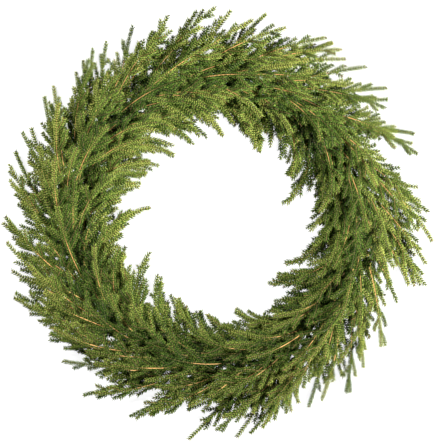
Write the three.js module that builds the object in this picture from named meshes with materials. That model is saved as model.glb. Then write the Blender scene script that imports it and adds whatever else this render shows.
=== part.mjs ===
// A fresh evergreen wreath: bunches of Norway spruce tips, laid head over tail round a heavy wire ring
// and bound to it with thin wire. It lies on its back. +Z is the side that shows, +Y is its top, and
// every tip points clockwise as seen from +Z. The origin is the ring's centre, on the surface below.
// Units are millimetres, and angles in the plane are clockwise from +Y.

import * as THREE from "three";

// Driving dimensions
const RING_RADIUS = 252; // a 20 inch ring, measured to the middle of its wire
const RING_WIRE = 4.2; // diameter
const BINDING_WIRE = 1.0; // diameter
const SEAT_GAP = 0.3; // between pieces that touch
const BUNCHES = 20;
const BUNCHES_A_WIRE = 2; // bunches that one length of binding wire ties

// The bunch's fan of sprays
const OUTER_REACH = 144; // from the ring to the outermost tips
const INNER_REACH = 110; // from the ring to the innermost tips
const FRONT_REACH = 86; // from the bound stems to the highest tips
const SIDE_FLARE = 1.5; // how late the sprays turn sideways: a power of the way along them
const EARLY_FLARE = 0.15; // share of their reach that they gain evenly instead
const FRONT_RISE = 1.1; // how late they rise
const SWEEP = 0.7; // radians round the ring from a bunch's binding to its tips
const OUTER_SWEEP = 0.1; // share by which the outer sprays sweep less and the inner ones more
const TIP_LIFT = 8; // of the outermost and innermost tips over the bound stems
const SPREADS = [
  [0.9, 0.38, -0.48],
  [0.68, 0, -0.88],
]; // of the sprays of even and odd bunches: 1 outermost, 0 over the ring, -1 innermost
const LEADER_LENGTHS = [216, 190, 182]; // outer, front and inner sprays, from the throat
const LEADER_WHORLS = [6, 5, 5]; // rings of needles

// Stems, shoots and needles
const THROAT = 6; // from the binding to where the needles' green begins
const KNOT_BACK = 6; // from the binding to where the stems part again behind it
const KNOT_RADIUS = 3; // the stems together under the binding
const BUTT = 28; // from the binding to the nearest cut end
const BUTT_STEP = 3; // from one cut end to the next
const BUTT_SPREAD = 3.6; // of the cut ends' middles from the bunch's
const BUTT_RADIUS = 2.1;
const BARE_RADII = [1.5, 2.0]; // of a spray's leader near the throat and halfway to its first whorl
const LEADER_RADII = [2.8, 1.9]; // with its needles' roots, at its first whorl and its tip
const SHOOT_RADII = [2.4, 1.8];
const WHORL = 2.4; // length of stem that a ring of six needles stands on
const WHORL_FROM_TIP = 7;
const LEADER_PITCH = 19.5; // from one whorl to the next
const SHOOT_PITCH = 15;
const CLEAR_FROM = 8; // how far from its fork, or from the throat, a shoot stands clear of the others
const FORK_CLEAR_FROM = 5.3; // the same for needles, which keep clear of more of the shoot
const SHOOT_LENGTHS = [25, 31, 37, 38, 38]; // on a leader's whorls from its second back from the tip
const TWO_WHORL_SHOOT = 38.5; // or longer
const SHOOT_HEADING = [44, 16]; // degrees off the leader, at the fork and at the shoot's tip
const NEEDLE_LENGTH = 13;
const NEEDLE_LEAN = 36; // degrees off the stem
const NEEDLE_RADIUS = 1.5; // at its root
const NEEDLE_FLOOR = 0.6; // no needle comes lower
const FOLIAGE_GAP = 0.5; // air between one shoot or needle and the next
const SEED = 38000; // another number makes another wreath of the same kind

const DEGREE = Math.PI / 180;
const RING_HEIGHT = BINDING_WIRE + SEAT_GAP + RING_WIRE / 2;
const STEM_HEIGHT = RING_HEIGHT + RING_WIRE / 2 + SEAT_GAP + KNOT_RADIUS; // middle of the bound stems
const BUNCH_ANGLE = (2 * Math.PI) / BUNCHES;

// Repeatable numbers from 0 to 1.
function draws(seed) {
  let state = ((SEED + seed) * 7919 + 104729) % 4294967296;
  const next = () => {
    state = (state * 1664525 + 1013904223) % 4294967296;
    return state / 4294967296;
  };
  next();
  next();
  return next;
}

const mix = (a, b, t) => a + (b - a) * t;

// A point by its angle, its distance from the wreath's middle and its height.
function polar(angle, radius, height) {
  return new THREE.Vector3(radius * Math.sin(angle), radius * Math.cos(angle), height);
}

// A mesh that grows facet by facet. A section is a list of its points' numbers, anticlockwise as seen
// from ahead, and each facet is three of them, anticlockwise as seen from outside.
class Growth {
  points = [];
  facets = [];

  section(points) {
    this.points.push(...points);
    return points.map((_, n) => this.points.length - points.length + n);
  }

  // The facets between two sections of the same number of points.
  skin(back, front) {
    return back.flatMap((a, n) => {
      const next = (n + 1) % back.length;
      return [
        [a, back[next], front[n]],
        [back[next], front[next], front[n]],
      ];
    });
  }

  // Three facets that close one facet with a point over it.
  raise(facet, tip) {
    const [top] = this.section([tip]);
    facet.forEach((a, n) => this.facets.push([a, facet[(n + 1) % 3], top]));
  }

  middle(facet) {
    const sum = new THREE.Vector3();
    facet.forEach((n) => sum.add(this.points[n]));
    return sum.divideScalar(facet.length);
  }

  geometry() {
    const geometry = new THREE.BufferGeometry().setFromPoints(this.points).setIndex(this.facets.flat());
    geometry.computeVertexNormals();
    return geometry;
  }
}

// The facets that close a section, seen from ahead.
const cap = (section) => section.slice(2).map((n, i) => [section[0], section[i + 1], n]);
const reversed = (facets) => facets.map(([a, b, c]) => [a, c, b]);

// Points round a middle, in the plane of the side and across directions.
function circle(middle, side, across, radius, sides, turn) {
  return Array.from({ length: sides }, (_, n) => {
    const angle = turn + (n * 2 * Math.PI) / sides;
    return middle
      .clone()
      .addScaledVector(side, radius * Math.cos(angle))
      .addScaledVector(across, radius * Math.sin(angle));
  });
}

// The turn that lines a three-point section up with the one behind.
function turnOf(behind, side, across) {
  const middle = behind[0].clone().add(behind[1]).add(behind[2]).divideScalar(3);
  const sum = new THREE.Vector2();
  behind.forEach((point, n) => {
    const way = point.clone().sub(middle);
    const angle = Math.atan2(way.dot(across), way.dot(side)) - (n * 2 * Math.PI) / 3;
    sum.x += Math.cos(angle);
    sum.y += Math.sin(angle);
  });
  return sum.angle();
}

// Starts a three-point section at the point that twists the tube from the section behind least, and
// rather forwards than backwards, because the skin's facets lean that way.
function untwisted(points, behind) {
  const twist = (turned) =>
    turned.reduce((sum, point, n) => {
      return sum + point.distanceTo(behind[n]) + 0.5 * point.distanceTo(behind[(n + 1) % 3]);
    }, 0);
  const turns = [0, 1, 2].map((k) => [0, 1, 2].map((n) => points[(n + k) % 3]));
  return turns.reduce((best, turned) => (twist(turned) < twist(best) ? turned : best));
}

// Shoots: lines on a bunch's sheet, which fans out from its binding like half a horn

// u is 0 at the binding and 1 at the tips. The sheet arches over the ring, down to a flat rim where
// spread passes 1 or -1.
function sheetPoint(bunch, u, spread) {
  const reach = bunch.scale * (spread > 0 ? OUTER_REACH : INNER_REACH);
  const arch = (FRONT_REACH - TIP_LIFT) * Math.max(0, 1 - spread * spread);
  return polar(
    bunch.angle + SWEEP * (1 - OUTER_SWEEP * spread) * u,
    RING_RADIUS + reach * spread * mix(u ** SIDE_FLARE, u, EARLY_FLARE),
    STEM_HEIGHT + bunch.scale * (arch + TIP_LIFT) * u ** FRONT_RISE,
  );
}

// Walks over the sheet at a heading off its own lines, and returns the places passed, each with its
// point and the direction outward over the sheet.
function walk(bunch, start, length, headings) {
  const steps = Math.ceil(length / 4);
  const step = length / steps;
  const small = 1e-3;
  let { u, spread } = start;
  const places = [];
  for (let i = 0; i <= steps; i++) {
    const along = sheetPoint(bunch, u + small, spread).sub(sheetPoint(bunch, u - small, spread));
    const across = sheetPoint(bunch, u, spread + small).sub(sheetPoint(bunch, u, spread - small));
    const heading = mix(headings[0], headings[1], i / steps) * DEGREE;
    places.push({ u, spread, point: sheetPoint(bunch, u, spread), across: across.clone().normalize() });
    u += (step * Math.cos(heading) * 2 * small) / along.length();
    spread += (step * Math.sin(heading) * 2 * small) / across.length();
  }
  return places;
}

// A shoot: its line, and how far along it each ring of needles starts, from the tip back.
function shootOn(places, whorlCount, pitch, hand) {
  const line = new THREE.CatmullRomCurve3(places.map((place) => place.point));
  const length = line.getLength();
  const whorls = [];
  for (let i = 0; i < whorlCount; i++) {
    const at = length - WHORL_FROM_TIP - WHORL - i * pitch;
    if (at > CLEAR_FROM) whorls.push(at);
  }
  return { places, line, length, whorls, hand, forks: [] };
}

const placeAt = (shoot, at) => shoot.places[Math.round((at / shoot.length) * (shoot.places.length - 1))];

function leaderOf(bunch, index) {
  const draw = draws(bunch.number * 16 + index);
  const spread = SPREADS[bunch.number % 2][index] + mix(-0.04, 0.04, draw());
  const drift = mix(-5, 5, draw());
  const length = LEADER_LENGTHS[index] * mix(0.95, 1.05, draw());
  const start = { u: THROAT / (SWEEP * RING_RADIUS), spread };
  const along = walk(bunch, start, length, [0, drift]);
  const leader = shootOn(along, LEADER_WHORLS[index], LEADER_PITCH, 0);
  let hand = draw() < 0.5 ? -1 : 1;
  for (let whorl = 1; whorl < leader.whorls.length; whorl++) {
    const reach = SHOOT_LENGTHS[whorl - 1] * mix(0.9, 1.1, draw());
    const headings = SHOOT_HEADING.map((degrees) => hand * degrees);
    const places = walk(bunch, placeAt(leader, leader.whorls[whorl]), reach, headings);
    const whorlCount = reach < TWO_WHORL_SHOOT ? 1 : 2;
    leader.forks.push({ whorl, shoot: shootOn(places, whorlCount, SHOOT_PITCH, hand) });
    hand = -hand;
  }
  return leader;
}

// Clearance: what is in place, as round bars that may taper, each with the shoot that it belongs to.
const placed = [];

function bar(shoot, a, b, radii) {
  const middle = a.clone().add(b).multiplyScalar(0.5);
  return { shoot, a, b, radii, middle, half: a.distanceTo(b) / 2 };
}

function barGap(p, q) {
  const alongP = p.b.clone().sub(p.a);
  const alongQ = q.b.clone().sub(q.a);
  const apart = p.a.clone().sub(q.a);
  const [pp, qq, pq] = [alongP.dot(alongP), alongQ.dot(alongQ), alongP.dot(alongQ)];
  const [pa, qa] = [alongP.dot(apart), alongQ.dot(apart)];
  const spread = pp * qq - pq * pq;
  let s = spread > 1e-9 ? THREE.MathUtils.clamp((pq * qa - pa * qq) / spread, 0, 1) : 0;
  const t = THREE.MathUtils.clamp((pq * s + qa) / qq, 0, 1);
  s = THREE.MathUtils.clamp((pq * t - pa) / pp, 0, 1);
  const gap = apart.addScaledVector(alongP, s).addScaledVector(alongQ, -t).length();
  return gap - mix(...p.radii, s) - mix(...q.radii, t);
}

function isClear(item, parent) {
  return placed.every((other) => {
    if (other.shoot === item.shoot || other.shoot === parent) return true;
    const near = item.half + other.half + item.radii[0] + other.radii[0] + FOLIAGE_GAP;
    return item.middle.distanceTo(other.middle) > near || barGap(item, other) > FOLIAGE_GAP;
  });
}

// A shoot's stem as bars, up to its tip.
function barsOf(shoot, from, radius) {
  const count = Math.ceil((shoot.length - from) / 8);
  const points = Array.from({ length: count + 1 }, (_, i) =>
    shoot.line.getPointAt(mix(from / shoot.length, 1, i / count)),
  );
  return points.slice(1).map((b, i) => bar(shoot, points[i], b, [radius, radius]));
}

// Grows a shoot out of a facet: a slim three-sided stem, with whorls of needles that lean to its tip.
function growShoot(growth, facet, shoot, stations, draw) {
  let back = facet;
  stations.forEach((station, i) => {
    const share = Math.min(station.at / shoot.length, 1);
    const along = shoot.line.getTangentAt(share);
    const middle = shoot.line.getPointAt(share);
    const side = placeAt(shoot, station.at).across.clone();
    side.addScaledVector(along, -side.dot(along)).normalize();
    const across = along.clone().cross(side);
    if (station.tip) {
      growth.raise(back, middle);
      return;
    }
    const behind = back.map((n) => growth.points[n]);
    const turn = station.turn ?? turnOf(behind, side, across);
    const front = growth.section(untwisted(circle(middle, side, across, station.radius, 3, turn), behind));
    const skin = growth.skin(back, front);
    if (stations[i - 1]?.whorl) {
      growWhorl(growth, skin, shoot, stations[i - 1], along, draw);
    } else {
      growth.facets.push(...skin);
    }
    back = front;
  });
}

// Raises a needle, or starts a side shoot, on each facet round a whorl that has room for it.
function growWhorl(growth, skin, shoot, station, along, draw) {
  const middle = shoot.line.getPointAt((station.at + WHORL / 2) / shoot.length);
  let free = skin;
  if (station.fork) {
    const way = station.fork.line.getPointAt(CLEAR_FROM / station.fork.length).sub(middle).normalize();
    const facing = (facet) => growth.middle(facet).sub(middle).dot(way);
    const base = skin.reduce((best, facet) => (facing(facet) > facing(best) ? facet : best));
    free = skin.filter((facet) => facet !== base);
    growShoot(growth, base, station.fork, shootStations(station.fork, SHOOT_RADII), draw);
  }
  for (const facet of free) {
    const root = growth.middle(facet);
    const out = root.clone().sub(middle);
    out.addScaledVector(along, -out.dot(along)).normalize();
    const lean = NEEDLE_LEAN * mix(0.85, 1.15, draw()) * DEGREE;
    const way = along.clone().multiplyScalar(Math.cos(lean)).addScaledVector(out, Math.sin(lean));
    const length = NEEDLE_LENGTH * mix(0.88, 1.12, draw());
    const tips = [1, 0.75].map((share) => root.clone().addScaledVector(way, length * share));
    const needles = tips.map((tip) => bar(shoot, root, tip, [NEEDLE_RADIUS, 0.2]));
    const needle = needles.find((item) => item.b.z > NEEDLE_FLOOR && isClear(item));
    if (needle) {
      placed.push(needle);
      growth.raise(facet, needle.b);
    } else {
      growth.facets.push(facet);
    }
  }
}

// Where a shoot has its sections. A whorl that bears a side shoot turns one face towards it.
function shootStations(shoot, radii) {
  const stations = [];
  const radiusAt = (at) => mix(...radii, at / shoot.length);
  [...shoot.whorls].reverse().forEach((at) => {
    const fork = shoot.forks.find(({ whorl }) => shoot.whorls[whorl] === at)?.shoot;
    const turn = fork && (fork.hand > 0 ? Math.PI / 3 : 0);
    const radius = radiusAt(at);
    stations.push({ at, radius, turn, whorl: true, fork }, { at: at + WHORL, radius, turn });
  });
  stations.push({ at: shoot.length, tip: true });
  return stations;
}

// The knot: the stems side by side under the binding, as a hexagon whose three corner facets each go on
// as a spray's leader in front and as a cut stem behind.
function knotSection(bunch, distance) {
  const angle = bunch.angle + distance / RING_RADIUS;
  const outward = polar(bunch.angle, 1, 0);
  const up = new THREE.Vector3(0, 0, 1);
  return circle(polar(angle, RING_RADIUS, STEM_HEIGHT), outward, up, KNOT_RADIUS, 6, -Math.PI / 2);
}

// A knot section's corner facets for the outer, front and inner stem, and the facet between them.
function corners(section) {
  const [bottom, outer, right, front, left, inner] = section;
  const stems = [
    [bottom, outer, right],
    [right, front, left],
    [left, inner, bottom],
  ];
  return { stems, core: [bottom, right, left] };
}

function sprays(bunch, draw) {
  const growth = new Growth();
  const start = growth.section(knotSection(bunch, THROAT + SEAT_GAP));
  growth.facets.push(...reversed(cap(start)));
  const end = growth.section(knotSection(bunch, THROAT + SEAT_GAP + 1));
  growth.facets.push(...growth.skin(start, end));
  const { stems, core } = corners(end);
  growth.facets.push(core);
  bunch.leaders.forEach((leader, index) => {
    const bare = leader.whorls[leader.whorls.length - 1];
    const stations = shootStations(leader, LEADER_RADII);
    stations.unshift({ at: bare / 2, radius: BARE_RADII[1] });
    stations.unshift({ at: CLEAR_FROM, radius: BARE_RADII[0] });
    growShoot(growth, stems[index], leader, stations, draw);
  });
  return growth.geometry();
}

function bareStems(bunch) {
  const growth = new Growth();
  const front = growth.section(knotSection(bunch, THROAT));
  const back = growth.section(knotSection(bunch, -KNOT_BACK));
  growth.facets.push(...cap(front), ...growth.skin(back, front));
  const { stems, core } = corners(back);
  growth.facets.push(...reversed([core]));
  const up = new THREE.Vector3(0, 0, 1);
  stems.forEach((stem, index) => {
    const angle = bunch.angle - (BUTT - BUTT_STEP * index) / RING_RADIUS;
    const way = (index * 2 * Math.PI) / 3 - Math.PI / 6;
    const radius = RING_RADIUS + BUTT_SPREAD * Math.cos(way);
    const middle = polar(angle, radius, STEM_HEIGHT + 1 + BUTT_SPREAD * Math.sin(way));
    const points = circle(middle, polar(angle, 1, 0), up, BUTT_RADIUS, 3, way - (2 * Math.PI) / 3);
    const end = growth.section(untwisted(points, stem.map((n) => growth.points[n])));
    growth.facets.push(...growth.skin(end, stem), ...reversed([end]));
  });
  return growth.geometry();
}

// The binding wire: once round the ring and the stems at each bunch, and along under the ring between.
const WRAP_PITCH = 5; // how far along the ring one turn of the wire goes
const WRAP_SIDE = KNOT_RADIUS + 0.9;
const WRAP_TOP = STEM_HEIGHT + KNOT_RADIUS + 1.3;
const [UNDER, LOW, HIGH] = [BINDING_WIRE / 2, RING_HEIGHT + 2.5, WRAP_TOP - 2.8]; // its corners' heights
const UNDER_SIDE = 2.6;
const WRAP = [
  { x: UNDER_SIDE, z: UNDER, out: [0, -1] },
  { x: WRAP_SIDE, z: LOW, out: [1, 0] },
  { x: WRAP_SIDE, z: HIGH, out: [1, 0] },
  { x: 0, z: WRAP_TOP, out: [0, 1] },
  { x: -WRAP_SIDE, z: HIGH, out: [-1, 0] },
  { x: -WRAP_SIDE, z: LOW, out: [-1, 0] },
  { x: -UNDER_SIDE, z: UNDER, out: [0, -1] },
];

function bindingWire(first) {
  const stations = [];
  const put = (angle, { x, z, out }) => {
    stations.push({ middle: polar(angle, RING_RADIUS + x, z), outward: polar(angle, ...out) });
  };
  const midway = { x: 0, z: UNDER, out: [0, -1] };
  put((first - 0.5) * BUNCH_ANGLE, midway);
  for (let k = first; k < first + BUNCHES_A_WIRE; k++) {
    WRAP.forEach((corner, i) => {
      const along = WRAP_PITCH * (i / (WRAP.length - 1) - 0.5);
      put(k * BUNCH_ANGLE + along / RING_RADIUS, corner);
    });
  }
  put((first + BUNCHES_A_WIRE - 0.5) * BUNCH_ANGLE - SEAT_GAP / RING_RADIUS, midway);
  const growth = new Growth();
  const half = BINDING_WIRE / 2;
  const sections = stations.map(({ middle, outward }, i) => {
    const before = stations[Math.max(i - 1, 0)].middle;
    const after = stations[Math.min(i + 1, stations.length - 1)].middle;
    const across = outward.clone().cross(after.clone().sub(before)).normalize();
    const corner = (out, side) =>
      middle.clone().addScaledVector(outward, out * half).addScaledVector(across, side * half);
    return growth.section([corner(1, 1.1), corner(1, -1.1), corner(-1, 0)]);
  });
  sections.slice(1).forEach((section, i) => growth.facets.push(...growth.skin(sections[i], section)));
  growth.facets.push(...reversed([sections[0]]), sections[sections.length - 1]);
  return growth.geometry();
}

function ring() {
  const geometry = new THREE.TorusGeometry(RING_RADIUS, RING_WIRE / 2, 5, 2 * BUNCHES);
  return geometry.translate(0, 0, RING_HEIGHT);
}

// Colours
const NEEDLE_GREEN = new THREE.MeshStandardMaterial({ color: 0x4f7a2c, roughness: 0.6, metalness: 0 });
const BARK = new THREE.MeshStandardMaterial({ color: 0xa8763e, roughness: 0.85, metalness: 0 });
const GREEN_STEEL = new THREE.MeshStandardMaterial({ color: 0x2c3a2a, roughness: 0.45, metalness: 0.6 });
const DARK_WIRE = new THREE.MeshStandardMaterial({ color: 0x27331f, roughness: 0.5, metalness: 0.7 });

const wreath = new THREE.Group();

function add(name, geometry, material) {
  const mesh = new THREE.Mesh(geometry, material);
  mesh.name = name;
  wreath.add(mesh);
}

const twoDigits = (n) => String(n + 1).padStart(2, "0");

// Every bunch's shoots are laid out first, and then its needles, which keep clear of all of them.
const bunches = Array.from({ length: BUNCHES }, (_, number) => {
  const bunch = { number, angle: number * BUNCH_ANGLE, scale: mix(0.96, 1.04, draws(number + 500)()) };
  bunch.leaders = [0, 1, 2].map((index) => leaderOf(bunch, index));
  return bunch;
});
const leaders = bunches.flatMap((bunch) => bunch.leaders);
for (const leader of leaders) placed.push(...barsOf(leader, CLEAR_FROM, LEADER_RADII[0]));
for (const leader of leaders) {
  leader.forks = leader.forks.filter(({ shoot }) => {
    const fits = barsOf(shoot, CLEAR_FROM, SHOOT_RADII[0]).every((item) => isClear(item, leader));
    if (fits) placed.push(...barsOf(shoot, FORK_CLEAR_FROM, SHOOT_RADII[0]));
    return fits;
  });
}

add("ring", ring(), GREEN_STEEL);
for (let first = 0; first < BUNCHES; first += BUNCHES_A_WIRE) {
  add("binding_wire_" + twoDigits(first / BUNCHES_A_WIRE), bindingWire(first), DARK_WIRE);
}
for (const bunch of bunches) {
  const name = "bunch_" + twoDigits(bunch.number);
  add(name + "_sprays", sprays(bunch, draws(bunch.number + 900)), NEEDLE_GREEN);
  add(name + "_stems", bareStems(bunch), BARK);
}

export default wreath;
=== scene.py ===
"""The looks of a fresh spruce wreath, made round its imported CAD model.

The layout is the CAD model's own: bunches of sprays bound head over tail on a wire ring, each spray a
leader with side shoots that lie on the bunch's curved sheet. Every bunch gets more sprays here, and every
shoot its full coat of needles. Angles in the plane are clockwise from +Y. Lengths are in millimetres,
but those of the stage are in metres.
"""

import math
from dataclasses import dataclass

import bpy
import numpy as np
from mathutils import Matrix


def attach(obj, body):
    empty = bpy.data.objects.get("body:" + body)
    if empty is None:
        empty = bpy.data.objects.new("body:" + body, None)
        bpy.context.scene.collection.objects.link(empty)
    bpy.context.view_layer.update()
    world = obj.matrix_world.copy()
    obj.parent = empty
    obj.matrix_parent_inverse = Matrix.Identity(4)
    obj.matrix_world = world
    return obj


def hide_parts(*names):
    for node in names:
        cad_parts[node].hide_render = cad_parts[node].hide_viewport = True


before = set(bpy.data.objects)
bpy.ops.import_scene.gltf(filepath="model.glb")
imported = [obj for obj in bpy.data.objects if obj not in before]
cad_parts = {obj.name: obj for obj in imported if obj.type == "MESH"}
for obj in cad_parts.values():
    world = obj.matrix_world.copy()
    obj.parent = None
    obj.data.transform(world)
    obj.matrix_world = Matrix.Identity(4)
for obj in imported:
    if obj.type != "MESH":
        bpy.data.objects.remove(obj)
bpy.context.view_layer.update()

MM = 0.001
DEGREE = math.pi / 180
UP = np.array([0.0, 0.0, 1.0])
WHITE = (1, 1, 1, 1)

# The CAD model's dimensions
RING_RADIUS = 252  # to the middle of its wire
RING_WIRE = 4.2  # diameter
BINDING_WIRE = 1.0  # diameter
SEAT_GAP = 0.3  # between pieces that touch
BUNCHES = 20
BUNCHES_A_WIRE = 2  # bunches that one length of binding wire ties
OUTER_REACH = 144  # from the ring to the outermost tips
INNER_REACH = 110  # from the ring to the innermost tips
FRONT_REACH = 86  # from the bound stems to the highest tips
SIDE_FLARE = 1.5  # how late the sprays turn sideways: a power of the way along them
EARLY_FLARE = 0.15  # share of their reach that they gain evenly instead
FRONT_RISE = 1.1  # how late they rise
SWEEP = 0.7  # radians round the ring from a bunch's binding to its tips
OUTER_SWEEP = 0.1  # share by which the outer sprays sweep less and the inner ones more
TIP_LIFT = 8  # of the outermost and innermost tips over the bound stems
BUNCH_SCALES = [0.96, 1.04]  # of a bunch's reach
SPREADS = [
    [0.9, 0.38, -0.48],
    [0.68, 0, -0.88],
]  # of the sprays of even and odd bunches: 1 outermost, 0 over the ring, -1 innermost
SPREAD_SHIFTS = [-0.04, 0.04]
LEADER_DRIFTS = [-5, 5]  # degrees that a spray bends sideways
LEADER_LENGTHS = [216, 190, 182]  # outer, front and inner sprays, from the throat
LEADER_SCALES = [0.95, 1.05]  # of those lengths
LEADER_WHORLS = [6, 5, 5]  # rings of needles
THROAT = 6  # from the binding to where the needles' green begins
KNOT_RADIUS = 3  # the stems together under the binding
WHORL = 2.4  # length of stem that a ring of needles stands on
WHORL_FROM_TIP = 7
LEADER_PITCH = 19.5  # from one whorl to the next
CLEAR_FROM = 8  # how far from the throat a leader stands clear of the others
SHOOT_LENGTHS = [25, 31, 37, 38, 38]  # on a leader's whorls from its second back from the tip
SHOOT_SCALES = [0.9, 1.1]  # of those lengths
SHOOT_HEADING = [44, 16]  # degrees off the leader, at the fork and at the shoot's tip
WALK_STEP = 4  # over the sheet, at most
SEED = 38000
SEEDS_A_BUNCH = 16  # kept for its sprays
SCALE_SEED = 500
DRAW_STATES = 2**32  # of the CAD model's random numbers

RING_HEIGHT = BINDING_WIRE + SEAT_GAP + RING_WIRE / 2
STEM_HEIGHT = RING_HEIGHT + RING_WIRE / 2 + SEAT_GAP + KNOT_RADIUS  # middle of the bound stems
BUNCH_ANGLE = math.tau / BUNCHES
THROAT_ANGLE = THROAT / RING_RADIUS
THROAT_U = THROAT / (SWEEP * RING_RADIUS)  # of the way over the sheet

# The sprays that only this script adds
SPRAY_LENGTHS = [112, 178]  # over the ring
RIM_LENGTHENING = 56  # of the outermost ones
INNER_LENGTHENING = 26  # of the innermost ones
START_PITCH = 0.618  # of the way to the next binding, round from one spray's start to the next's
START_SCATTER = 0.3  # of that way, more at most
SPRAY_DRIFT = 14  # degrees that they bend sideways, at most
SPRAY_SWEEPS = [0.8, 1.08]  # how far round the ring their sheet goes, to the CAD sprays'
INNER_SWEEP = 0.25  # further, on the innermost sprays
BARE_ROOT = 0.2  # of their length, without needles
INNER_TURN = 12  # degrees that the innermost ones turn back, on the wreath's right as it hangs
INNER_SHIFT = 0.13  # that they reach further in, there
INNER_FOLD = 0.35  # of their side shoots' headings, there; on the left they open by as much
LIMIT = 386  # radius that no shoot passes
LIMIT_OFFSET = 8  # of that circle's middle from the ring's, to the right and down
LEAST_PLACES = 3  # that a shoot has, past the limit or not

# Those sprays' side shoots
SHOOTS_A_SPRAY = 9
FIRST_SHOOT = [22, 40]  # from the tip
RIM_FIRST_SHOOT = 18  # further back, on the outermost sprays
SHOOT_PITCH = 13
SHOOT_SHIFTS = [-0.25, 0.25]  # of that pitch
EXTRA_SHOOT_LENGTHS = [18, 56]  # nearest the tip, and furthest back
EXTRA_HEADING = [40, 21]  # degrees off the leader, at the fork and at the shoot's tip
HEADING_SCALES = [0.85, 1.15]
SHOOT_BEND = 8  # degrees that a side shoot's tip turns off that, at most
SHOOT_TILT = 10  # degrees off the sheet, at most
FORKED_FROM = 34  # side shoots longer than this fork once more
FORKED_OUT_FROM = 0.5  # of the spread, on sprays further out or in than this
FORK_AT = 0.42  # of the side shoot's length
FORK_HEADING = [40, 20]  # degrees off the side shoot
FORK_LENGTHS = [0.34, 0.5]  # of the side shoot's own

# Needles
NEEDLES_A_TURN = 6.5  # round the stem
TURN_CLOSENESS = 0.64  # of a turn's needles to one another, where 1 is a whorl
SHOOT_NEEDLED_FROM = 1.5  # from a side shoot's root
NEEDLED_UNTIL = 0.6  # from a shoot's tip
NEEDLE_LENGTHS = [8.0, 9.3]
NEEDLE_LEAN = [48, 35]  # degrees off the stem, before and after the needle's bend
LEAN_SCATTER = 0.06  # standard deviation of that, as a share
NEEDLE_WIDEST = 0.3  # of the way along it, where it also bends
NEEDLE_THICKNESS = 0.5  # how far its bend is set back from the way that its flat side faces
NEEDLE_ROOT = 0.3  # from the stem's middle
NEEDLE_FACING = 0.35  # how far its flat side turns round the stem with it, rather than up or down
NEEDLE_FLOOR = 0.4  # no needle comes lower
TIP_ZONE = 4  # of a shoot, over which the needles shorten and close towards its bud
TIP_LENGTH = 0.85  # of a needle at the bud, to the full length
TIP_LEAN = 0.6  # of a needle at the bud, to the full lean
ROOT_ZONE = 8  # of a shoot, over which its needles grow to their full length
ROOT_LENGTH = 0.7  # of its first needle, to the full length
TOP_SHORTENING = 0.3  # of the needles on top of a shoot, which lets its stem show a little
BUNCH_SEEDS = 10000  # kept for the needles of a bunch
SPRAY_SEEDS = 100  # kept for the needles of a spray

# How young the foliage looks, with painted shade on the lower and deeper foliage, from 0 to about 1
BASE_YOUTH = 0.1  # before the rest is added
OLDEST_RADIUS = RING_RADIUS - 5  # of the circle that youth grows from, outward and inward
RIM_WIDTH = 120  # from that circle to either rim
RIM_YOUTH = 0.92  # more, at the rim, if it grew all the way
YOUNGEST_FROM = 0.48  # of the rim's width, where it stops growing
HEIGHT_YOUTH_AND_LIGHT = 0.0015  # more for each millimetre of height: partly older foliage lower down, partly painted shade on the deeper foliage
YOUTH_SHIFTS = [-0.28, 0.22]  # from one shoot to another
CHANCE_SEED = 300
ROOTWARD_YOUTH_AND_SHADE = [-0.3, 0.14]  # of the needles from a shoot's root to its tip: paler young growth at the tip, and painted shade towards the root, deeper in the foliage
UNDERSIDE_SHADE = -0.4  # painted shade on the needles under the stem, which makes them darker

# Stems. A bark's tint is chance, youth with painted shade, and light, and light goes up to the cut wood's
# at 1.
STEM_RADII = [1.1, 0.8]  # at a shoot's root and its tip
STEM_STEP = 10  # from one ring of corners to the next
LEAST_RINGS = 3
LEADER_SIDES = 5
SHOOT_SIDES = 4
LEAD_IN_STEPS = 4
LOWEST_SHOOT = 4  # no stem's middle comes lower
BARE_STRETCH = [0.36, 0.64]  # of a leader, that shows its bark on top
BARE_HALF_ANGLE = 32 * DEGREE
BARE_LIGHT = 0.38
BARE_FADE = 0.12  # of a leader, over which that light fades out at either end
BUD_LENGTH = 2.8
BUD_RADIUS = 1.1
BUD_RINGS = np.array([-0.1, 0.4])  # of its length, from the stem's end
BUD_SCALES = np.array([0.6, 1])  # of its radius, there
LEAD_IN_BARK = (0.3, 0.2)  # youth and light

# Cut branches behind the binding
BUTTS = 7  # in a bunch, one in the middle of the others
BUTT_RADIUS = 1.1
BUTT_SCALES = [1, 1.25]  # of a cut end's radius, to that
BUTT_SIDES = 6
BUTT_RING = 1.9  # of the outer ones' middles from the middle one's, in the knot
BUTT_LENGTHS = [22, 38]  # from the binding back to their cut ends
BUTT_SPREADS = [2.6, 5.4]  # as the ring, at their cut ends
MIDDLE_SPREAD = 1  # of the middle one
BUTT_DEPTH = 2.8  # of their middles below the knot's, at most
BUTT_COURSE = [(1, 1), (0.6, 0.7), (0.25, 0.15), (0, 0)]  # shares of a length back, and of its spread
BUTT_FRONT = 2.5  # throats from the binding to their hidden front ends
BUTT_FRONT_RING = 0.4  # of the ring, there
BUTT_BARK = (0.3, 0.25)  # youth and light
CUT_WOOD = (0.5, 1, 1)
CUT_DEPTH = 0.25  # half the thickness of the pale disc on a cut end
CUT_SCALE = 0.94  # of its radius, to the branch's

# Ring and binding wire
HOOP_STEPS = 200
HOOP_SIDES = 12
WRAP_TURNS = 3  # round each bunch
WRAP_STEPS = 16  # in a turn
WRAP_PITCH = 1.9
WRAP_HALF_WIDTH = 4.5
WRAP_CLEARANCE = 1.3  # of the wire's middle over the knot
WRAP_LOW = BINDING_WIRE / 2
WRAP_HIGH = STEM_HEIGHT + KNOT_RADIUS + WRAP_CLEARANCE
WRAP_MIDDLE = (WRAP_LOW + WRAP_HIGH) / 2
WIRE_SIDES = 6
NO_TINT = (0, 0, 0)

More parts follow.
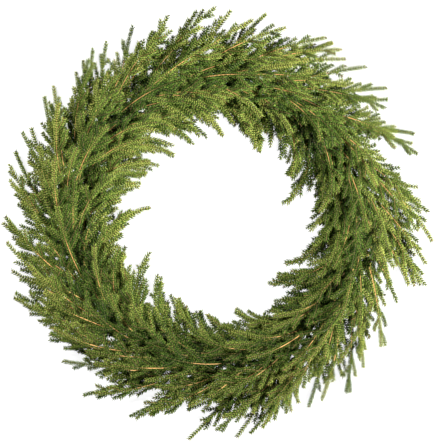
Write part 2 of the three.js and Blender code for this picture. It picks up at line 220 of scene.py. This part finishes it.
# Looks: colours by a shade from 0 to 1, and what each channel adds to that shade
NEEDLE_COLOURS = [
    (0.0, (0.008, 0.011, 0.001)),
    (0.3, (0.02, 0.06, 0.005)),
    (0.6, (0.107, 0.205, 0.021)),
    (1.0, (0.57, 0.6, 0.13)),
]
NEEDLE_SHADE = -0.37  # before its channels are added
# the youth channel also carries painted shade
NEEDLE_BY_YOUTH_AND_SHADE = 0.55
NEEDLE_BY_CHANCE = 0.15
NEEDLE_BY_PATCH = 0.16
NEEDLE_SHADE_AND_LIGHT_BY_LENGTH = 0.98  # from its root to its tip: painted shade at the root, in a plume's core, and painted light at the tip
NEEDLE_ROUGHNESS = 0.65
NEEDLE_SHEEN = 0.18
PATCH_SCALE, PATCH_DETAIL = 14.0, 4.0
BARK_COLOURS = [
    (0.1, (0.03, 0.05, 0.01)),
    (0.32, (0.13, 0.09, 0.022)),
    (0.55, (0.53, 0.3, 0.09)),
    (0.75, (0.82, 0.5, 0.2)),
    (0.95, (0.9, 0.72, 0.45)),
]
BARK_SHADE = 0.0
BARK_BY_GRAIN = 0.25
# the youth channel also carries painted shade
BARK_BY_YOUTH_AND_SHADE = 0.15
BARK_BY_CHANCE = 0.15
BARK_BY_LIGHT = 0.5
BARK_ROUGHNESS = 0.72
GRAIN_SCALE, GRAIN_DETAIL = 900.0, 6.0
GRAIN_BUMP = [0.5, 0.3 * MM]  # strength and depth
RING_COLOURS = [(0.02, 0.035, 0.018), (0.05, 0.065, 0.04)]  # whole, and worn
WIRE_COLOURS = [(0.018, 0.03, 0.012), (0.06, 0.07, 0.045)]
RING_ROUGHNESS = 0.4
WIRE_ROUGHNESS = 0.45
PAINTED_METAL = 0.55  # metallic share of both
WEAR_SCALE, WEAR_DETAIL = 260.0, 5.0
WEAR_BUMP = [0.25, 0.2 * MM]
WORN_BETWEEN = [0.35, 0.7]  # of the noise, from whole to worn

# The stage, in metres
PIXEL = 1.764 * MM  # of the photograph, on the wreath
FRAME_HEIGHT = 443  # pixels, the long side
FRAME_CENTRE = (220.5, 221.5)  # pixels, as is the next
WREATH_CENTRE = (214, 221)
PHOTO_PLANE = 0.03  # height of the foliage that PIXEL is measured on
LENS = 85  # this and the sensor are a real camera's, in millimetres
SENSOR = 36
FLOOR = 16  # half its width
FLOOR_GREY = 0.12
FLOOR_GLOW = 0.92
FLOOR_ROUGHNESS = 0.9
WORLD_STRENGTH = 0.025
LIGHT_SIZE = 0.4
KEY_PLACE, KEY_POWER = (1.8, -0.5, 2.1), 226
BACK_PLACE, BACK_POWER = (-1.5, 1.3, 2.2), 118


def mix(a, b, t):
    return a + (b - a) * t


def unit(vectors):
    """The vectors, or the one vector, made 1 long."""
    return vectors / np.linalg.norm(vectors, axis=-1, keepdims=True)


def square_to(along, vectors):
    """The vectors' parts square to the directions along, made 1 long."""
    return unit(vectors - along * np.sum(vectors * along, axis=1)[:, None])


def turned(start, end, angles):
    """Directions turned from one row of directions towards another, each by its own angle."""
    return np.cos(angles)[:, None] * start + np.sin(angles)[:, None] * end


def interpolated(at, known_at, rows):
    """Vectors at some distances, from rows of them known at others."""
    return np.stack([np.interp(at, known_at, column) for column in rows.T], axis=1)


def polar(angle, radius, height):
    """A point by its angle, its distance from the wreath's middle and its height."""
    return np.array([radius * math.sin(angle), radius * math.cos(angle), height])


def outward(angles):
    """Level directions out from the wreath's middle."""
    return np.stack([np.sin(angles), np.cos(angles), np.zeros(len(angles))], axis=1)


class Draws:
    """The CAD model's repeatable numbers from 0 to 1."""

    def __init__(self, seed):
        self.state = ((SEED + seed) * 7919 + 104729) % DRAW_STATES
        self()
        self()

    def __call__(self):
        self.state = (self.state * 1664525 + 1013904223) % DRAW_STATES
        return self.state / DRAW_STATES


# Layout: shoots on a bunch's sheet, as in the CAD model


@dataclass
class Layer:
    """Sprays that only this script adds: how many to a bunch, how they lie, and how they are clad."""

    seed: int
    sprays: int
    spreads: tuple  # of the innermost and the outermost
    crowding: float  # towards the outermost, where it is under 1
    levels: tuple  # their height over the ring, to the CAD sprays'
    youth_and_shade: float  # of the foliage over the ring, added to what its place gives; the lower layer's is low, a painted shade deep in the wreath as well as older foliage
    coat: tuple  # length of stem for each needle, and half the needle's width


UPPER = Layer(
    seed=7000,
    sprays=8,
    spreads=(-1.12, 1.09),
    crowding=0.7,
    levels=(0.75, 1.06),
    youth_and_shade=0.0,
    coat=(0.64, 1.0),
)
LOWER = Layer(
    seed=9000,
    sprays=7,
    spreads=(-1.1, 1.04),
    crowding=0.8,
    levels=(0.1, 0.55),
    # Painted shade: the lower layer is much darker, as foliage deep in the wreath lies in shade, and
    # partly as it is older
    youth_and_shade=-0.6,
    coat=(0.72, 1.05),
)


class Sheet:
    """A bunch's fan surface. A lower level brings it down towards the ring, a lead starts it further
    round the ring than the binding, and a sweep under 1 takes it less far round."""

    def __init__(self, number, level=1.0, lead=0.0, sweep=1.0):
        self.angle = number * BUNCH_ANGLE + lead
        self.scale = mix(*BUNCH_SCALES, Draws(number + SCALE_SEED)())
        self.level = level
        self.sweep = SWEEP * sweep

    def point(self, u, spread):
        """u is 0 at the binding and 1 at the tips."""
        u = max(u, 0.0)
        reach = self.scale * (OUTER_REACH if spread > 0 else INNER_REACH)
        arch = (FRONT_REACH - TIP_LIFT) * max(0.0, 1 - spread * spread)
        rise = self.level * self.scale * (arch + TIP_LIFT) * u**FRONT_RISE
        return polar(
            self.angle + self.sweep * (1 - OUTER_SWEEP * spread) * u,
            RING_RADIUS + reach * spread * mix(u**SIDE_FLARE, u, EARLY_FLARE),
            STEM_HEIGHT + rise,
        )

    def walk(self, start, length, headings):
        """Walks over the sheet at a heading off its own lines: the places passed, as u, spread, point
        and direction outward over the sheet."""
        steps = math.ceil(length / WALK_STEP)
        step = length / steps
        small = 1e-3
        u, spread = start
        places = []
        for i in range(steps + 1):
            point = self.point(u, spread)
            if i >= LEAST_PLACES and math.dist(point[:2], (LIMIT_OFFSET, -LIMIT_OFFSET)) > LIMIT:
                break
            along = self.point(u + small, spread) - self.point(u - small, spread)
            across = self.point(u, spread + small) - self.point(u, spread - small)
            places.append((u, spread, point, across / np.linalg.norm(across)))
            heading = mix(*headings, i / steps) * DEGREE
            u += step * math.cos(heading) * 2 * small / np.linalg.norm(along)
            spread += step * math.sin(heading) * 2 * small / np.linalg.norm(across)
        return places


class Shoot:
    """A line with its side directions, measured along from its root. origin is where it starts, if that
    isn't on the sheet."""

    def __init__(self, places, tilt=0.0, leader=False, needled_from=SHOOT_NEEDLED_FROM, origin=None):
        self.places = [(u, spread) for u, spread, _, _ in places]
        self.points = np.array([point for _, _, point, _ in places])
        self.sides = np.array([across for _, _, _, across in places])
        self.leader = leader
        self.needled_from = needled_from
        steps = np.linalg.norm(np.diff(self.points, axis=0), axis=1)
        self.at = np.concatenate([[0], np.cumsum(steps)])
        self.length = self.at[-1]
        if tilt:
            normal = unit(np.cross(self.sides[0], self.points[1] - self.points[0]))
            self.points += normal * (self.at * math.tan(tilt * DEGREE))[:, None]
        if origin is not None:
            self.points += origin - self.points[0]
        self.points[:, 2] = np.maximum(self.points[:, 2], LOWEST_SHOOT)

    def nearest(self, at):
        """The number of the place nearest to a distance along the line."""
        return math.floor(at / self.length * (len(self.places) - 1) + 0.5)

    def place_at(self, at):
        return self.places[self.nearest(at)]

    def point_at(self, at):
        return self.points[self.nearest(at)]

    def frames(self, at):
        """Points, tangents, side and up directions at distances along the line."""
        slopes = np.gradient(self.points, self.at, axis=0)
        along = unit(interpolated(at, self.at, slopes))
        side = square_to(along, interpolated(at, self.at, self.sides))
        return interpolated(at, self.at, self.points), along, side, np.cross(side, along)


def cad_spray(number, index):
    """One of the CAD model's sprays: its leader and side shoots."""
    draw = Draws(number * SEEDS_A_BUNCH + index)
    sheet = Sheet(number)
    spread = SPREADS[number % 2][index] + mix(*SPREAD_SHIFTS, draw())
    drift = mix(*LEADER_DRIFTS, draw())
    length = LEADER_LENGTHS[index] * mix(*LEADER_SCALES, draw())
    places = sheet.walk((THROAT_U, spread), length, [0, drift])
    leader = Shoot(places, leader=True, needled_from=CLEAR_FROM)
    hand = -1 if draw() < 0.5 else 1
    shoots = [leader]
    for whorl in range(1, LEADER_WHORLS[index]):
        reach = SHOOT_LENGTHS[whorl - 1] * mix(*SHOOT_SCALES, draw())
        at = leader.length - WHORL_FROM_TIP - WHORL - whorl * LEADER_PITCH
        headings = [hand * degrees for degrees in SHOOT_HEADING]
        shoots.append(Shoot(sheet.walk(leader.place_at(at), reach, headings)))
        hand = -hand
    return shoots


def lead_in(number, sheet, spread):
    """The stretch of stem along the ring from a bunch's binding to where a spray's own sheet starts."""
    first = number * BUNCH_ANGLE + THROAT_ANGLE
    angles = np.linspace(first, sheet.angle + THROAT_ANGLE, LEAD_IN_STEPS + 1)
    points = [polar(angle, RING_RADIUS, STEM_HEIGHT) for angle in angles]
    return Shoot([(0, spread, point, polar(angle, 1, 0)) for point, angle in zip(points, angles)])


def fork(sheet, parent, headings, hand, draw):
    """A small shoot off a side shoot."""
    at = FORK_AT * parent.length
    way = mix(*headings, FORK_AT)
    places = sheet.walk(
        parent.place_at(at),
        parent.length * mix(*FORK_LENGTHS, draw()),
        [way + hand * degrees for degrees in FORK_HEADING],
    )
    return Shoot(places, tilt=mix(-SHOOT_TILT, SHOOT_TILT, draw()), origin=parent.point_at(at))


def side_shoots(sheet, leader, spread, fold, draw):
    """The side shoots of a spray that isn't the CAD model's, to the left and the right by turns. fold is
    the share by which they lie closer to the leader."""
    shoots = []
    hand = -1 if draw() < 0.5 else 1
    first = mix(*FIRST_SHOOT, draw()) + RIM_FIRST_SHOOT * max(spread, 0)
    for k in range(SHOOTS_A_SPRAY):
        at = leader.length - first - (k + mix(*SHOOT_SHIFTS, draw())) * SHOOT_PITCH
        if at < CLEAR_FROM:
            break
        reach = mix(*EXTRA_SHOOT_LENGTHS, (k + draw()) / SHOOTS_A_SPRAY)
        turn = mix(*HEADING_SCALES, draw()) * (1 - fold)
        headings = [hand * degrees * turn for degrees in EXTRA_HEADING]
        headings[1] += mix(-SHOOT_BEND, SHOOT_BEND, draw())
        tilt = mix(-SHOOT_TILT, SHOOT_TILT, draw())
        shoot = Shoot(sheet.walk(leader.place_at(at), reach, headings), tilt, origin=leader.point_at(at))
        shoots.append(shoot)
        if reach > FORKED_FROM and abs(spread) > FORKED_OUT_FROM:
            shoots.append(fork(sheet, shoot, headings, hand if draw() < 0.5 else -hand, draw))
        hand = -hand
    return shoots


def extra_spray(layer, number, index):
    """A spray between or under the CAD model's, less straight, and with more shoots: its shoots, and the
    stem that leads to it. hang is how far to the wreath's right the bunch is as it hangs, from -1 to 1."""
    draw = Draws(number * SEEDS_A_BUNCH + index + layer.seed)
    lead = BUNCH_ANGLE * ((index * START_PITCH + START_SCATTER * draw()) % 1)
    level = mix(*layer.levels, draw())
    sweep = mix(*SPRAY_SWEEPS, draw())
    across = 2 * (index + draw()) / layer.sprays - 1
    spread = mix(*layer.spreads, 0.5 + 0.5 * math.copysign(abs(across) ** layer.crowding, across))
    hang = math.sin(number * BUNCH_ANGLE)
    if spread < 0:
        spread *= 1 + INNER_SHIFT * hang
    inward = max(-spread, 0)
    sheet = Sheet(number, level, lead, sweep * (1 + INNER_SWEEP * inward))
    drift = mix(-SPRAY_DRIFT, SPRAY_DRIFT, draw()) + INNER_TURN * inward * hang
    length = mix(*SPRAY_LENGTHS, draw()) + RIM_LENGTHENING * max(spread, 0) + INNER_LENGTHENING * inward
    places = sheet.walk((THROAT_U, spread), length, [0, drift])
    leader = Shoot(places, leader=True, needled_from=BARE_ROOT * length)
    shoots = side_shoots(sheet, leader, spread, INNER_FOLD * inward * hang, draw)
    return [leader, *shoots], lead_in(number, sheet, spread)


# Meshes


class Shell:
    """Closed bodies gathered into one mesh, with a tint at every vertex."""

    def __init__(self):
        self.points = []
        self.tints = []
        self.faces = []
        self.count = 0

    def add(self, points, faces, tints):
        """points (n, 3), faces a list of (m, corners) arrays, tints (n, 3)."""
        self.points.append(points)
        self.tints.append(tints)
        self.faces += [np.asarray(rows) + self.count for rows in faces]
        self.count += len(points)

    def mesh(self, name):
        mesh = bpy.data.meshes.new(name)
        points = np.concatenate(self.points) * MM
        mesh.vertices.add(len(points))
        mesh.vertices.foreach_set("co", points.astype(np.float32).ravel())
        corners = np.concatenate([rows.ravel() for rows in self.faces]).astype(np.int32)
        totals = np.concatenate([np.full(len(rows), rows.shape[1]) for rows in self.faces])
        starts = np.concatenate([[0], np.cumsum(totals)[:-1]])
        mesh.loops.add(len(corners))
        mesh.loops.foreach_set("vertex_index", corners)
        mesh.polygons.add(len(totals))
        mesh.polygons.foreach_set("loop_start", starts.astype(np.int32))
        mesh.polygons.foreach_set("use_smooth", np.full(len(totals), True))
        tints = mesh.attributes.new("tint", "FLOAT_COLOR", "POINT")
        colours = np.ones((len(points), 4), np.float32)
        colours[:, :3] = np.concatenate(self.tints)
        tints.data.foreach_set("color", colours.ravel())
        mesh.update(calc_edges=True)
        mesh.validate()
        return mesh

    def piece(self, name, look, slot, *nodes):
        """Makes the shell a piece of the object, in place of the CAD model's nodes."""
        mesh = self.mesh(name)
        mesh.materials.append(look)
        piece = bpy.data.objects.new(name, mesh)
        bpy.context.collection.objects.link(piece)
        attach(piece, "root")
        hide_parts(*nodes)


def skin(here, there, corner_count):
    """Quads from some rings of corners to others, both given by their numbers."""
    corner = np.arange(corner_count)
    after = (corner + 1) % corner_count
    here = here[:, None] * corner_count
    there = there[:, None] * corner_count
    quads = np.stack([here + corner, there + corner, there + after, here + after], axis=-1)
    return quads.reshape(-1, 4)


def tube(shell, centres, sides, ups, radii, corner_count, tint, tip=None, closed=False):
    """A round stem through the centres, closed by flat ends, by a point at its far end, or on itself."""
    rings = len(centres)
    turns = np.arange(corner_count) * math.tau / corner_count
    out = np.cos(turns)[None, :, None] * sides[:, None, :] + np.sin(turns)[None, :, None] * ups[:, None, :]
    reach = np.broadcast_to(radii, rings)[:, None, None]
    points = (centres[:, None, :] + out * reach).reshape(-1, 3)
    if closed:
        faces = [skin(np.arange(rings), np.arange(1, rings + 1) % rings, corner_count)]
    else:
        first = np.arange(corner_count)
        last = first + (rings - 1) * corner_count
        faces = [skin(np.arange(rings - 1), np.arange(1, rings), corner_count), first[None, :]]
        if tip is None:
            faces.append(last[::-1][None, :])
        else:
            points = np.concatenate([points, tip[None, :]])
            point = np.full(corner_count, rings * corner_count)
            faces.append(np.stack([last, point, np.roll(last, -1)], axis=-1))
    shell.add(points, faces, np.broadcast_to(tint, (len(points), 3)))


# A needle's corners are its root, the two edges of its bend, and its tip.
NEEDLE_FACES = np.array([[0, 2, 1], [0, 1, 3], [0, 3, 2], [1, 2, 3]])
# How far along the needle, for its tint: painted shade at its root and painted light at its tip
ALONG_NEEDLE = np.array([0, 0.5, 0.5, 1])


def needle_roots(shoot, pitch, rng):
    """Where needles stand in a spiral: how far along the shoot, and the turn round it, 0 at its level
    side and pi / 2 on top."""
    start = shoot.needled_from
    at = np.arange(start, shoot.length - NEEDLED_UNTIL, pitch)
    turns = np.arange(len(at)) / NEEDLES_A_TURN
    at -= (turns % 1) * pitch * NEEDLES_A_TURN * TURN_CLOSENESS
    at = np.maximum(at, start)
    turn = turns * math.tau + rng.uniform(0, math.tau)
    turn = (turn + math.pi) % math.tau - math.pi
    if shoot.leader:
        on_top = np.abs(turn - math.pi / 2) < BARE_HALF_ANGLE
        share = at / shoot.length
        bare = on_top & (share > BARE_STRETCH[0]) & (share < BARE_STRETCH[1])
        at, turn = at[~bare], turn[~bare]
    return at, turn


def needle_sizes(shoot, at, turn, rng):
    """Each needle's length, and its lean as a share of the full one."""
    to_bud = np.clip((shoot.length - at) / TIP_ZONE, 0, 1)
    from_root = np.clip((at - shoot.needled_from) / ROOT_ZONE, 0, 1)
    length = rng.uniform(*NEEDLE_LENGTHS, len(at))
    length *= mix(TIP_LENGTH, 1, to_bud) * mix(ROOT_LENGTH, 1, from_root)
    length *= 1 - TOP_SHORTENING * np.maximum(np.sin(turn), 0) ** 2
    return length, rng.normal(1, LEAN_SCATTER, len(at)) * mix(TIP_LEAN, 1, to_bud)


def needle_corners(shoot, at, turn, length, lean, half_width):
    """Each needle's four corners. It bends towards the shoot's tip, and its flat side faces partly away
    from the stem and partly straight up or down."""
    middle, along, _, _ = shoot.frames(at)
    side = unit(np.cross(along, UP))
    up = np.cross(side, along)
    out = turned(side, up, turn)
    ways = [turned(along, out, degrees * DEGREE * lean) for degrees in NEEDLE_LEAN]
    root = middle + out * NEEDLE_ROOT
    bend = root + ways[0] * (length * NEEDLE_WIDEST)[:, None]
    tip = bend + ways[1] * (length * (1 - NEEDLE_WIDEST))[:, None]
    vertical = np.where(turn < 0, -math.pi / 2, math.pi / 2)
    face = turned(side, up, mix(vertical, turn, NEEDLE_FACING))
    way = unit(tip - root)
    edge = unit(np.cross(way, face))
    bend -= np.cross(edge, way) * NEEDLE_THICKNESS
    corners = np.stack([root, bend - edge * half_width, bend + edge * half_width, tip], axis=1)
    corners[:, :, 2] = np.maximum(corners[:, :, 2], NEEDLE_FLOOR)
    return corners


def needles(shell, shoot, coat, seed, youth_and_shade):
    """A shoot's coat of needles. Their tint is chance, youth with painted shade, and how far along the
    needle, which paints shade at its root and light at its tip.
    """
    pitch, half_width = coat
    rng = np.random.default_rng(seed)
    at, turn = needle_roots(shoot, pitch, rng)
    length, lean = needle_sizes(shoot, at, turn, rng)
    corners = needle_corners(shoot, at, turn, length, lean, half_width)
    # painted shade under the stem, and partly painted shade towards the shoot's root
    youths_and_shades = youth_and_shade + mix(*ROOTWARD_YOUTH_AND_SHADE, at / shoot.length) + np.where(turn < 0, UNDERSIDE_SHADE, 0)
    tints = np.empty(corners.shape)
    tints[:, :, 0] = rng.uniform(0, 1, len(at))[:, None]
    tints[:, :, 1] = youths_and_shades[:, None]
    tints[:, :, 2] = ALONG_NEEDLE
    faces = NEEDLE_FACES + np.arange(len(at))[:, None, None] * len(ALONG_NEEDLE)
    shell.add(corners.reshape(-1, 3), [faces.reshape(-1, 3)], tints.reshape(-1, 3))


def stem(shell, shoot, radii, tint):
    """A shoot's woody stem and the bud at its tip. A leader's bark is lighter where it is bare."""
    sides = LEADER_SIDES if shoot.leader else SHOOT_SIDES
    count = max(LEAST_RINGS, math.ceil(shoot.length / STEM_STEP) + 1)
    at = np.linspace(0, shoot.length, count)
    middle, along, side, up = shoot.frames(at)
    tints = np.tile(np.array(tint, float), (count, 1))
    if shoot.leader:
        first, last = BARE_STRETCH
        stops = [first - BARE_FADE, first, last, last + BARE_FADE]
        tints[:, 2] = np.interp(at / shoot.length, stops, [0, BARE_LIGHT, BARE_LIGHT, 0])
    tube(shell, middle, side, up, np.linspace(*radii, count), sides, np.repeat(tints, sides, axis=0))
    middles = middle[-1] + along[-1] * (BUD_RINGS * BUD_LENGTH)[:, None]
    tip = middle[-1] + along[-1] * BUD_LENGTH
    tube(shell, middles, side[[-1, -1]], up[[-1, -1]], BUD_SCALES * BUD_RADIUS, sides, tint, tip=tip)


def butt(shell, number, way, ring, draw):
    """One of a bunch's branches, from its cut end to just in front of the binding. way is where it lies
    round the knot's middle, and ring how far out."""
    end = -mix(*BUTT_LENGTHS, draw())
    spread = mix(*BUTT_SPREADS, draw()) if ring else MIDDLE_SPREAD
    distances = [end * share for share, _ in BUTT_COURSE] + [THROAT, BUTT_FRONT * THROAT]
    rings = [mix(ring, spread, share) for _, share in BUTT_COURSE] + [ring, BUTT_FRONT_RING * ring]
    outs = outward(number * BUNCH_ANGLE + np.array(distances) / RING_RADIUS)
    ups = np.tile(UP, (len(outs), 1))
    heights = STEM_HEIGHT + np.maximum(np.array(rings) * math.sin(way), -BUTT_DEPTH)
    centres = outs * (RING_RADIUS + np.array(rings) * math.cos(way))[:, None] + UP * heights[:, None]
    radii = BUTT_RADIUS * np.linspace(mix(*BUTT_SCALES, draw()), 1, len(outs))
    tube(shell, centres, outs, ups, radii, BUTT_SIDES, (draw(), *BUTT_BARK))
    back = unit(centres[0] - centres[1]) * CUT_DEPTH
    disc = np.stack([centres[0] + back, centres[0] - back])
    tube(shell, disc, outs[:2], ups[:2], radii[:2] * CUT_SCALE, BUTT_SIDES, CUT_WOOD)


def butts(shell, number, draw):
    """A bunch's cut branches: a ring of them, and one in its middle."""
    for k in range(BUTTS):
        butt(shell, number, k * math.tau / (BUTTS - 1), BUTT_RING if k < BUTTS - 1 else 0, draw)


# Materials


def material(name, roughness, metallic=0.0):
    made = bpy.data.materials.new(name)
    made.use_nodes = True
    shader = made.node_tree.nodes["Principled BSDF"]
    shader.inputs["Roughness"].default_value = roughness
    shader.inputs["Metallic"].default_value = metallic
    return made, made.node_tree, shader


def noise(tree, scale, detail):
    coordinates = tree.nodes.new("ShaderNodeTexCoord")
    made = tree.nodes.new("ShaderNodeTexNoise")
    made.inputs["Scale"].default_value = scale
    made.inputs["Detail"].default_value = detail
    tree.links.new(coordinates.outputs["Object"], made.inputs["Vector"])
    return made.outputs["Fac"]


def colour_by(tree, shader, shade, stops):
    """Colours the material by a shade, through (position, colour) stops."""
    made = tree.nodes.new("ShaderNodeValToRGB")
    while len(made.color_ramp.elements) < len(stops):
        made.color_ramp.elements.new(0.5)
    for element, (position, colour) in zip(made.color_ramp.elements, stops):
        element.position = position
        element.color = (*colour, 1)
    tree.links.new(shade, made.inputs["Fac"])
    tree.links.new(made.outputs["Color"], shader.inputs["Base Color"])


def weighted_sum(tree, start, *terms):
    """A starting value, and (channel, weight) terms added to it."""
    total = start
    for channel, weight in terms:
        made = tree.nodes.new("ShaderNodeMath")
        made.operation = "MULTIPLY_ADD"
        tree.links.new(channel, made.inputs[0])
        made.inputs[1].default_value = weight
        if isinstance(total, float):
            made.inputs[2].default_value = total
        else:
            tree.links.new(total, made.inputs[2])
        total = made.outputs["Value"]
    return total


def tint_channels(tree):
    attribute = tree.nodes.new("ShaderNodeAttribute")
    attribute.attribute_name = "tint"
    split = tree.nodes.new("ShaderNodeSeparateColor")
    tree.links.new(attribute.outputs["Color"], split.inputs["Color"])
    return split.outputs["Red"], split.outputs["Green"], split.outputs["Blue"]


def bump(tree, shader, height, strength, depth):
    made = tree.nodes.new("ShaderNodeBump")
    made.inputs["Strength"].default_value = strength
    made.inputs["Distance"].default_value = depth
    tree.links.new(height, made.inputs["Height"])
    tree.links.new(made.outputs["Normal"], shader.inputs["Normal"])


def needle_material():
    """Green that goes from nearly black at a needle's root to yellow-green at its tip, a painted shade in
    a plume's core and a painted light at its edge, and is darker throughout on old foliage, and with
    painted shade on a shoot's underside, towards its root, low down and on the lower layer."""
    made, tree, shader = material("spruce_needles", NEEDLE_ROUGHNESS)
    shader.inputs["Specular IOR Level"].default_value = NEEDLE_SHEEN
    chance, youth_and_shade, along = tint_channels(tree)
    shade = weighted_sum(
        tree,
        NEEDLE_SHADE,
        (youth_and_shade, NEEDLE_BY_YOUTH_AND_SHADE),
        (chance, NEEDLE_BY_CHANCE),
        (noise(tree, PATCH_SCALE, PATCH_DETAIL), NEEDLE_BY_PATCH),
        # painted shade at each needle's root and painted light at its tip
        (along, NEEDLE_SHADE_AND_LIGHT_BY_LENGTH),
    )
    colour_by(tree, shader, shade, NEEDLE_COLOURS)
    return made


def bark_material():
    """Thin bark: olive-brown on side shoots, orange-brown where a leader is bare, with pale cut ends."""
    made, tree, shader = material("spruce_bark", BARK_ROUGHNESS)
    chance, youth_and_shade, light = tint_channels(tree)
    grain = noise(tree, GRAIN_SCALE, GRAIN_DETAIL)
    shade = weighted_sum(
        tree,
        BARK_SHADE,
        (grain, BARK_BY_GRAIN),
        (youth_and_shade, BARK_BY_YOUTH_AND_SHADE),
        (chance, BARK_BY_CHANCE),
        (light, BARK_BY_LIGHT),
    )
    colour_by(tree, shader, shade, BARK_COLOURS)
    bump(tree, shader, grain, *GRAIN_BUMP)
    return made


def wire_material(name, colours, roughness):
    """Green-coated steel wire, worn in places to a duller tone."""
    made, tree, shader = material(name, roughness, PAINTED_METAL)
    wear = noise(tree, WEAR_SCALE, WEAR_DETAIL)
    colour_by(tree, shader, wear, list(zip(WORN_BETWEEN, colours)))
    bump(tree, shader, wear, *WEAR_BUMP)
    return made


NEEDLES = needle_material()
BARK = bark_material()
RING_PAINT = wire_material("ring_paint", RING_COLOURS, RING_ROUGHNESS)
WIRE_COAT = wire_material("wire_coat", WIRE_COLOURS, WIRE_ROUGHNESS)


# The wreath


def youth_and_shade_at(tip, added_youth_and_shade):
    """A shoot's youth, with painted shade, by where its tip is: more towards either rim, and more towards
    the front, where less painted shade is put on. The layer's added youth and shade is added on the oldest
    circle, and less of it towards the rims."""
    rim = abs(math.hypot(tip[0], tip[1]) - OLDEST_RADIUS) / RIM_WIDTH
    youth_and_shade = BASE_YOUTH + added_youth_and_shade * max(0, 1 - rim)
    return youth_and_shade + RIM_YOUTH * min(rim, YOUNGEST_FROM) + HEIGHT_YOUTH_AND_LIGHT * tip[2]


def build_bunch(number):
    """A bunch's needles and wood. The CAD model's sprays are clad as the upper layer's."""
    green, wood = Shell(), Shell()
    chance = Draws(number + CHANCE_SEED)
    sprays = [(cad_spray(number, index), None, UPPER) for index in range(len(LEADER_LENGTHS))]
    for layer in (UPPER, LOWER):
        sprays += [(*extra_spray(layer, number, index), layer) for index in range(layer.sprays)]
    for k, (shoots, root, layer) in enumerate(sprays):
        for n, shoot in enumerate(shoots):
            youth_and_shade = youth_and_shade_at(shoot.points[-1], layer.youth_and_shade) + mix(*YOUTH_SHIFTS, chance())
            stem(wood, shoot, STEM_RADII, (chance(), max(youth_and_shade, 0), 0))
            needles(green, shoot, layer.coat, number * BUNCH_SEEDS + k * SPRAY_SEEDS + n, youth_and_shade)
        if root:
            stem(wood, root, [STEM_RADII[0]] * 2, (chance(), *LEAD_IN_BARK))
    butts(wood, number, chance)
    label = "bunch_%02d" % (number + 1)
    green.piece(label + "_needles", NEEDLES, "needles", label + "_sprays")
    wood.piece(label + "_wood", BARK, "bark", label + "_stems")


def build_ring():
    outs = outward(np.arange(HOOP_STEPS) * math.tau / HOOP_STEPS)
    ups = np.tile(UP, (HOOP_STEPS, 1))
    centres = outs * RING_RADIUS + UP * RING_HEIGHT
    hoop = Shell()
    tube(hoop, centres, outs, ups, RING_WIRE / 2, HOOP_SIDES, NO_TINT, closed=True)
    hoop.piece("ring_hoop", RING_PAINT, "ring_steel", "ring")


def under_ring(number):
    """Where the binding wire is halfway on its straight way from one bunch to the bunch of this number."""
    return polar((number - 0.5) * BUNCH_ANGLE, RING_RADIUS * math.cos(BUNCH_ANGLE / 2), WRAP_LOW)


def wire_route(first):
    """The middle of a binding wire, from halfway before its first bunch to halfway after its last."""
    half = (WRAP_HIGH - WRAP_LOW) / 2
    steps = WRAP_TURNS * WRAP_STEPS
    route = [under_ring(first)]
    for k in range(first, first + BUNCHES_A_WIRE):
        for i in range(steps + 1):
            turn = math.tau * i / WRAP_STEPS
            along = WRAP_TURNS * WRAP_PITCH * (i / steps - 0.5)
            angle = k * BUNCH_ANGLE + along / RING_RADIUS
            radius = RING_RADIUS + WRAP_HALF_WIDTH * math.sin(turn)
            route.append(polar(angle, radius, WRAP_MIDDLE - half * math.cos(turn)))
    route.append(under_ring(first + BUNCHES_A_WIRE))
    return np.array(route)


def build_wire(number):
    route = wire_route(number * BUNCHES_A_WIRE)
    along = unit(np.gradient(route, axis=0))
    hub = unit(route * [1, 1, 0]) * RING_RADIUS + UP * WRAP_MIDDLE
    away = square_to(along, route - hub)
    shell = Shell()
    tube(shell, route, away, np.cross(away, along), BINDING_WIRE / 2, WIRE_SIDES, NO_TINT)
    shell.piece("wire_%02d" % (number + 1), WIRE_COAT, "binding_wire", "binding_wire_%02d" % (number + 1))


for number in range(BUNCHES):
    build_bunch(number)
build_ring()
for number in range(BUNCHES // BUNCHES_A_WIRE):
    build_wire(number)


# The stage

floor_corners = [(-FLOOR, -FLOOR, 0), (FLOOR, -FLOOR, 0), (FLOOR, FLOOR, 0), (-FLOOR, FLOOR, 0)]
floor_mesh = bpy.data.meshes.new("floor")
floor_mesh.from_pydata(floor_corners, [], [(0, 1, 2, 3)])
floor = bpy.data.objects.new("floor", floor_mesh)
bpy.context.collection.objects.link(floor)
pale, _, floor_shader = material("pale_floor", FLOOR_ROUGHNESS)
floor_shader.inputs["Base Color"].default_value = (FLOOR_GREY, FLOOR_GREY, FLOOR_GREY, 1)
floor_shader.inputs["Emission Color"].default_value = WHITE
floor_shader.inputs["Emission Strength"].default_value = FLOOR_GLOW
floor_mesh.materials.append(pale)
floor.visible_diffuse = False
floor.visible_glossy = False

world = bpy.data.worlds.new("studio")
bpy.context.scene.world = world
world.use_nodes = True
background = world.node_tree.nodes["Background"]
background.inputs["Color"].default_value = WHITE
background.inputs["Strength"].default_value = WORLD_STRENGTH


def soft_light(name, place, power):
    """A round light that faces the wreath."""
    data = bpy.data.lights.new(name, "AREA")
    data.shape = "DISK"
    data.energy = power
    data.size = LIGHT_SIZE
    light = bpy.data.objects.new(name, data)
    light.location = place
    aim = -light.location
    light.rotation_euler = aim.to_track_quat("-Z", "Y").to_euler()
    bpy.context.collection.objects.link(light)


soft_light("key", KEY_PLACE, KEY_POWER)
soft_light("back", BACK_PLACE, BACK_POWER)

camera_data = bpy.data.cameras.new("camera")
camera_data.lens = LENS
camera_data.sensor_width = SENSOR
camera = bpy.data.objects.new("camera", camera_data)
camera.location = (
    (FRAME_CENTRE[0] - WREATH_CENTRE[0]) * PIXEL,
    (WREATH_CENTRE[1] - FRAME_CENTRE[1]) * PIXEL,
    PIXEL * FRAME_HEIGHT * LENS / SENSOR + PHOTO_PLANE,
)
bpy.context.collection.objects.link(camera)
bpy.context.scene.camera = camera
bpy.context.scene.view_settings.view_transform = "Standard"
